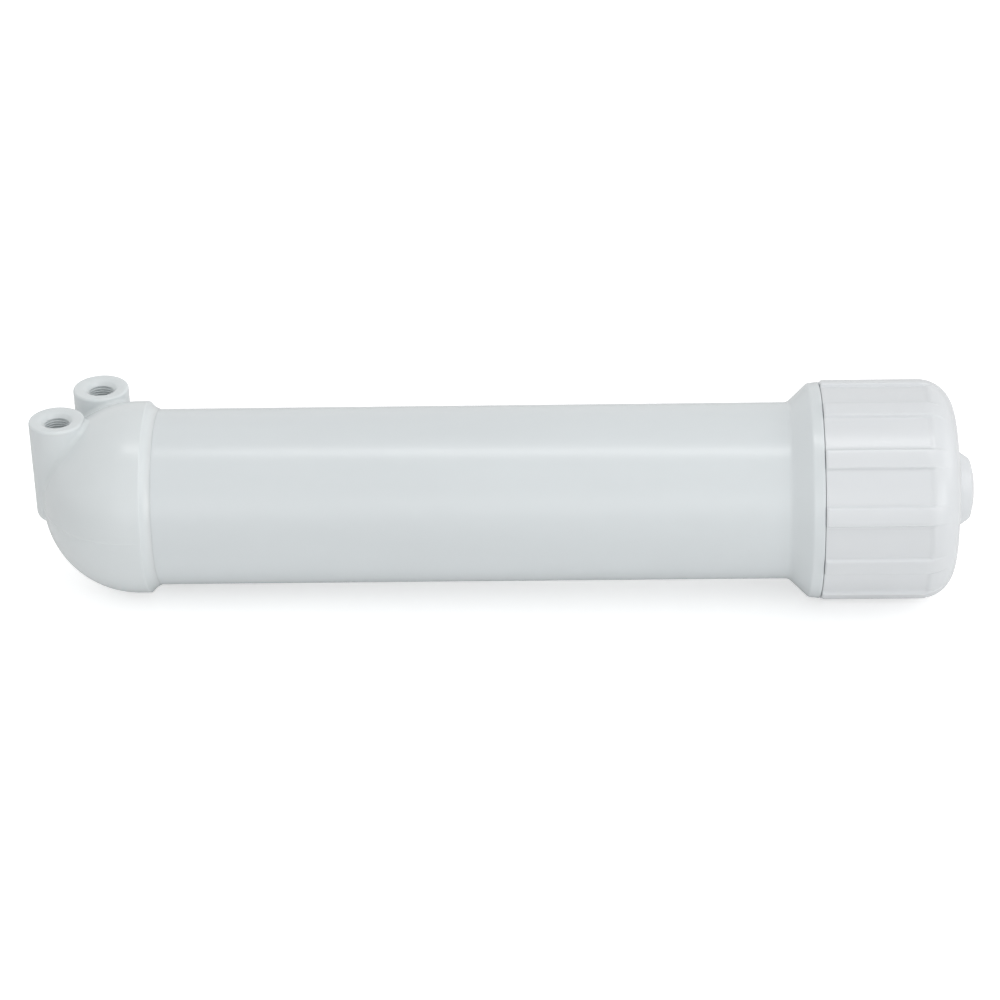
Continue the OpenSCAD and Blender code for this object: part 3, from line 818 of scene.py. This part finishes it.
class VESSEL_OT_cap(bpy.types.Operator):
    """Models the ribbed screw cap with its inlet port"""

    bl_idname = "vessel.make_cap"
    bl_label = "Make the cap"

    def execute(self, context):
        sizes = context.scene.vessel_cap
        ports = context.scene.vessel_port
        seam_x = seam_place(context.scene.vessel_tube)
        cap = cap_body(sizes, ports.sink_d / 2)
        combine(cap, cap_hollow(sizes, context.scene.vessel_thread, seam_x), "DIFFERENCE")
        depth = sizes.end_rise + sizes.nub_h + sizes.end_wall + OVER
        cutter = port_cutter("port", depth, ports)
        lying = Matrix.Rotation(math.pi / 2, 4, "Y")
        cutter.data.transform(Matrix.Translation((nub_place(sizes), 0, 0)) @ lying)
        combine(cap, cutter, "DIFFERENCE")
        white = moulded("cap_white", context.scene.vessel_finish.cap_white, context)
        finish_piece(cap, white, "cap", "screw_cap")
        return {"FINISHED"}


# Materials

# How much the moulded plastic varies in tone and in gloss
UNEVEN = 0.015


class Nodes:
    """Short ways to add and join the nodes of one material."""

    def __init__(self, name):
        self.material = bpy.data.materials.new(name)
        self.material.use_nodes = True
        self.tree = self.material.node_tree
        self.shader = self.tree.nodes["Principled BSDF"]
        self.coordinates = self.tree.nodes.new("ShaderNodeTexCoord").outputs["Object"]

    def add(self, kind, **settings):
        """Adds a node with its settings."""
        node = self.tree.nodes.new(kind)
        for key, value in settings.items():
            setattr(node, key, value)
        return node

    def join(self, source, target):
        """Links an output to an input."""
        self.tree.links.new(source, target)

    def noise(self, scale, detail=2.0, stretch=(1, 1, 1)):
        """Noise on the object's own coordinates, drawn out along an axis by a small stretch."""
        mapping = self.add("ShaderNodeMapping")
        mapping.inputs["Scale"].default_value = stretch
        self.join(self.coordinates, mapping.inputs["Vector"])
        noise = self.add("ShaderNodeTexNoise")
        noise.inputs["Scale"].default_value = scale
        noise.inputs["Detail"].default_value = detail
        self.join(mapping.outputs["Vector"], noise.inputs["Vector"])
        return noise.outputs["Fac"]

    def between(self, value, low, high):
        """Spreads a noise value over a range."""
        spread = self.add("ShaderNodeMapRange")
        spread.inputs["From Min"].default_value = 0.3
        spread.inputs["From Max"].default_value = 0.7
        spread.inputs["To Min"].default_value = low
        spread.inputs["To Max"].default_value = high
        self.join(value, spread.inputs["Value"])
        return spread.outputs["Result"]

    def mix(self, value, one, two):
        """Mixes two colours by a value."""
        mix = self.add("ShaderNodeMix", data_type="RGBA")
        self.join(value, mix.inputs["Factor"])
        mix.inputs["A"].default_value = (*one, 1)
        mix.inputs["B"].default_value = (*two, 1)
        return mix.outputs["Result"]

    def bump(self, height, depth, under=None):
        """Bump of a real depth, over another one."""
        bump = self.add("ShaderNodeBump")
        bump.inputs["Strength"].default_value = 1
        bump.inputs["Distance"].default_value = depth
        self.join(height, bump.inputs["Height"])
        if under is not None:
            self.join(under, bump.inputs["Normal"])
        return bump.outputs["Normal"]

    def finish(self, tone, gloss, relief):
        """Joins what was made to the shader: colour, roughness and normal."""
        for name, source in (("Base Color", tone), ("Roughness", gloss), ("Normal", relief)):
            self.join(source, self.shader.inputs[name])
        return self.material


def shaded(base, factor):
    """A colour made lighter or darker."""
    return tuple(min(1, channel * factor) for channel in base)


def moulded(name, base, context):
    """Satin white moulded plastic: faint flow marks, uneven gloss and a fine moulded grain."""
    finish = context.scene.vessel_finish
    nodes = Nodes(name)
    nodes.shader.inputs["IOR"].default_value = 1.49
    nodes.shader.inputs["Subsurface Weight"].default_value = finish.sunk_light
    nodes.shader.inputs["Subsurface Radius"].default_value = (1, 1, 1)
    nodes.shader.inputs["Subsurface Scale"].default_value = finish.sunk_depth
    flow = nodes.between(nodes.noise(40, 3, stretch=(0.25, 1, 1)), 0, 1)
    cloud = nodes.noise(160, 3)
    waves = nodes.bump(nodes.noise(55, 1), 0.05 * MM)
    return nodes.finish(
        tone=nodes.mix(flow, shaded(base, 1 - UNEVEN), shaded(base, 1 + UNEVEN)),
        gloss=nodes.between(cloud, finish.roughness - UNEVEN, finish.roughness + UNEVEN),
        relief=nodes.bump(nodes.noise(2600, 2), 0.006 * MM, under=waves),
    )


def rubber(name, base):
    """Matt black rubber with a faint bloom."""
    nodes = Nodes(name)
    bloom = nodes.between(nodes.noise(300, 4), 0, 1)
    return nodes.finish(
        tone=nodes.mix(bloom, base, shaded(base, 1.8)),
        gloss=nodes.between(nodes.noise(500), 0.5, 0.66),
        relief=nodes.bump(nodes.noise(3000, 3), 0.01 * MM),
    )


def element_plastic(name, base):
    """Plain moulded plastic of the element's fittings."""
    nodes = Nodes(name)
    cloud = nodes.between(nodes.noise(120, 3), 0, 1)
    return nodes.finish(
        tone=nodes.mix(cloud, shaded(base, 0.96), shaded(base, 1.04)),
        gloss=nodes.between(nodes.noise(400), 0.38, 0.48),
        relief=nodes.bump(nodes.noise(1800), 0.01 * MM),
    )


def wound_sheet(name, base, gap):
    """Turns of thin sheet round the X axis, with the spacer between them."""
    nodes = Nodes(name)
    rings = nodes.add("ShaderNodeTexWave", wave_type="RINGS", rings_direction="X")
    rings.inputs["Scale"].default_value = 260
    rings.inputs["Distortion"].default_value = 0.6
    rings.inputs["Detail"].default_value = 1
    nodes.join(nodes.coordinates, rings.inputs["Vector"])
    return nodes.finish(
        tone=nodes.mix(rings.outputs["Fac"], gap, base),
        gloss=nodes.between(nodes.noise(700), 0.6, 0.75),
        relief=nodes.bump(rings.outputs["Fac"], 0.15 * MM),
    )


def wound_tape(name, base):
    """Film tape with the edges of its turns showing."""
    nodes = Nodes(name)
    bands = nodes.add(
        "ShaderNodeTexWave", wave_type="BANDS", bands_direction="DIAGONAL", wave_profile="SAW"
    )
    bands.inputs["Scale"].default_value = 7
    nodes.join(nodes.coordinates, bands.inputs["Vector"])
    return nodes.finish(
        tone=nodes.mix(bands.outputs["Fac"], shaded(base, 0.9), shaded(base, 1.06)),
        gloss=nodes.between(nodes.noise(300), 0.2, 0.32),
        relief=nodes.bump(bands.outputs["Fac"], 0.04 * MM),
    )


class VESSEL_OT_element(bpy.types.Operator):
    """Finishes the membrane element and the seals inside the vessel"""

    bl_idname = "vessel.finish_element"
    bl_label = "Finish the element"

    def execute(self, context):
        finish = context.scene.vessel_finish
        finishes = {
            "seal_rubber": rubber("seal_rubber", finish.rubber),
            "element_plastic": element_plastic("element_plastic", finish.element),
            "membrane": wound_sheet("membrane", finish.membrane, finish.spacer),
            "tape": wound_tape("tape", finish.tape),
        }
        for subpart in frame["record"]["subparts"]:
            material = finishes.get(subpart["material_slot"])
            if material is None:
                continue
            mesh = frame["nodes"][subpart["node"]].data
            mesh.materials.clear()
            mesh.materials.append(material)
        return {"FINISHED"}


# Stage

# Lamps: width and depth, and place
LAMPS = {
    "front": ((1.6, 0.8), (-0.15, -1.8, 0.45)),
    "side": ((1.0, 0.8), (1.5, -1.2, 0.35)),
    "end": ((0.8, 0.8), (1.5, 0.1, 0.5)),
    "strip": ((0.9, 0.12), (0.13, -0.14, 0.8)),
}
# The strip faces almost straight down, so that it stays nearly in line with the tube
STRIP_FACES = (0.17, 0, 0)
FLOOR_SIZE = 8


def lamp(name, power, size, place, target):
    """Rectangular soft lamp that faces a point."""
    data = bpy.data.lights.new(name, "AREA")
    data.shape = "RECTANGLE"
    data.size, data.size_y = size
    data.energy = power
    lamp_object = bpy.data.objects.new(name, data)
    lamp_object.location = place
    facing = Vector(target) - Vector(place)
    lamp_object.rotation_euler = facing.to_track_quat("-Z", "Y").to_euler()
    bpy.context.collection.objects.link(lamp_object)


def white_to_camera(tree, strength):
    """Value that is 1 where the camera looks, straight or mirrored, and the strength elsewhere."""
    path = tree.nodes.new("ShaderNodeLightPath")
    seen = path.outputs["Is Camera Ray"]
    for output in ("Is Glossy Ray", "Is Transmission Ray"):
        either = tree.nodes.new("ShaderNodeMath")
        either.operation = "MAXIMUM"
        tree.links.new(seen, either.inputs[0])
        tree.links.new(path.outputs[output], either.inputs[1])
        seen = either.outputs["Value"]
    spread = tree.nodes.new("ShaderNodeMapRange")
    spread.inputs["To Min"].default_value = strength
    spread.inputs["To Max"].default_value = 1
    tree.links.new(seen, spread.inputs["Value"])
    return spread.outputs["Result"]


def make_world(stage):
    """Even white surroundings."""
    world = bpy.data.worlds.new("white_surroundings")
    world.use_nodes = True
    tree = world.node_tree
    background = tree.nodes["Background"]
    background.inputs["Color"].default_value = (1, 1, 1, 1)
    tree.links.new(white_to_camera(tree, stage.fill), background.inputs["Strength"])
    bpy.context.scene.world = world


def make_floor(stage, ground):
    """Pale floor under the vessel, which lies on its cap's ribs and its head."""
    bpy.ops.object.select_all(action="DESELECT")
    bpy.ops.mesh.primitive_plane_add(size=FLOOR_SIZE)
    floor = bpy.context.object
    floor.name = "floor"
    floor.data.transform(ground)
    material = bpy.data.materials.new("floor_white")
    material.use_nodes = True
    tree = material.node_tree
    tree.nodes.remove(tree.nodes["Principled BSDF"])
    paper = tree.nodes.new("ShaderNodeBsdfDiffuse")
    paper.inputs["Color"].default_value = (stage.floor, stage.floor, stage.floor, 1)
    glow = tree.nodes.new("ShaderNodeEmission")
    lift = tree.nodes.new("ShaderNodeMath")
    lift.operation = "MULTIPLY"
    lift.inputs[1].default_value = stage.floor_lift
    path = tree.nodes.new("ShaderNodeLightPath")
    tree.links.new(path.outputs["Is Camera Ray"], lift.inputs[0])
    tree.links.new(lift.outputs["Value"], glow.inputs["Strength"])
    both = tree.nodes.new("ShaderNodeAddShader")
    tree.links.new(paper.outputs["BSDF"], both.inputs[0])
    tree.links.new(glow.outputs["Emission"], both.inputs[1])
    tree.links.new(both.outputs["Shader"], tree.nodes["Material Output"].inputs["Surface"])
    floor.data.materials.append(material)


def make_camera(stage):
    """Camera in front of the vessel and above it, turned a little about its line of sight."""
    data = bpy.data.cameras.new("camera")
    data.sensor_width = 36
    data.lens = stage.lens
    data.clip_end = 20
    azimuth, elevation = stage.azimuth, stage.elevation
    back = Vector((
        math.sin(azimuth) * math.cos(elevation),
        -math.cos(azimuth) * math.cos(elevation),
        math.sin(elevation),
    ))
    level = Vector((0, 0, 1)).cross(back).normalized()
    upward = back.cross(level)
    across = level * math.cos(stage.roll) + upward * math.sin(stage.roll)
    upright = upward * math.cos(stage.roll) - level * math.sin(stage.roll)
    camera = bpy.data.objects.new("camera", data)
    turned_to = Matrix((across, upright, back)).transposed().to_4x4()
    camera.matrix_world = Matrix.Translation(Vector(stage.aim) + back * stage.distance) @ turned_to
    bpy.context.collection.objects.link(camera)
    bpy.context.scene.camera = camera


class VESSEL_OT_stage(bpy.types.Operator):
    """Sets the floor, lamps, surroundings and camera"""

    bl_idname = "vessel.set_stage"
    bl_label = "Set the stage"

    def execute(self, context):
        stage = context.scene.vessel_stage
        cap = context.scene.vessel_cap
        head = context.scene.vessel_head
        rib_edge = math.pi / cap.rib_count - cap.rib_w / 2 / cap.rib_r
        cap_low = Vector((CAP_X + cap.edge_round, 0, -cap.rib_r * math.cos(rib_edge)))
        head_low = Vector((dome_place(head), 0, -HEAD_R))
        fall = math.atan2(head_low.z - cap_low.z, cap_low.x - head_low.x)
        ground = Matrix.Translation(head_low) @ Matrix.Rotation(fall, 4, "Y")
        make_floor(stage, ground)
        make_world(stage)
        make_camera(stage)
        for name, (size, place) in LAMPS.items():
            target = STRIP_FACES if name == "strip" else stage.aim
            lamp(name + "_lamp", getattr(stage, name), size, place, target)
        context.scene.view_settings.view_transform = "Standard"
        return {"FINISHED"}


OPERATORS = (VESSEL_OT_head, VESSEL_OT_tube, VESSEL_OT_cap, VESSEL_OT_element, VESSEL_OT_stage)


class VESSEL_PT_sidebar(bpy.types.Panel):
    """Lists the steps that build the vessel"""

    bl_idname = "VESSEL_PT_sidebar"
    bl_label = "Membrane vessel"
    bl_space_type = "VIEW_3D"
    bl_region_type = "UI"
    bl_category = "Vessel"

    def draw(self, context):
        for operator in OPERATORS:
            self.layout.operator(operator.bl_idname)
        for name, group in GROUPS.items():
            box = self.layout.box()
            box.label(text=group.__doc__)
            for key in group.__annotations__:
                box.prop(getattr(context.scene, name), key)


CLASSES = (*GROUPS.values(), *OPERATORS, VESSEL_PT_sidebar)


def register():
    """Registers the classes and gives the scene its sizes."""
    for cls in CLASSES:
        bpy.utils.register_class(cls)
    for name, group in GROUPS.items():
        setattr(bpy.types.Scene, name, PointerProperty(type=group))


def unregister():
    """Takes the sizes and the classes away again."""
    for name in GROUPS:
        delattr(bpy.types.Scene, name)
    for cls in reversed(CLASSES):
        bpy.utils.unregister_class(cls)


def main():
    """Builds the vessel piece by piece."""
    register()
    bpy.ops.vessel.make_head()
    bpy.ops.vessel.make_tube()
    bpy.ops.vessel.make_cap()
    bpy.ops.vessel.finish_element()
    bpy.ops.vessel.set_stage()


if __name__ == "__main__":
    main()
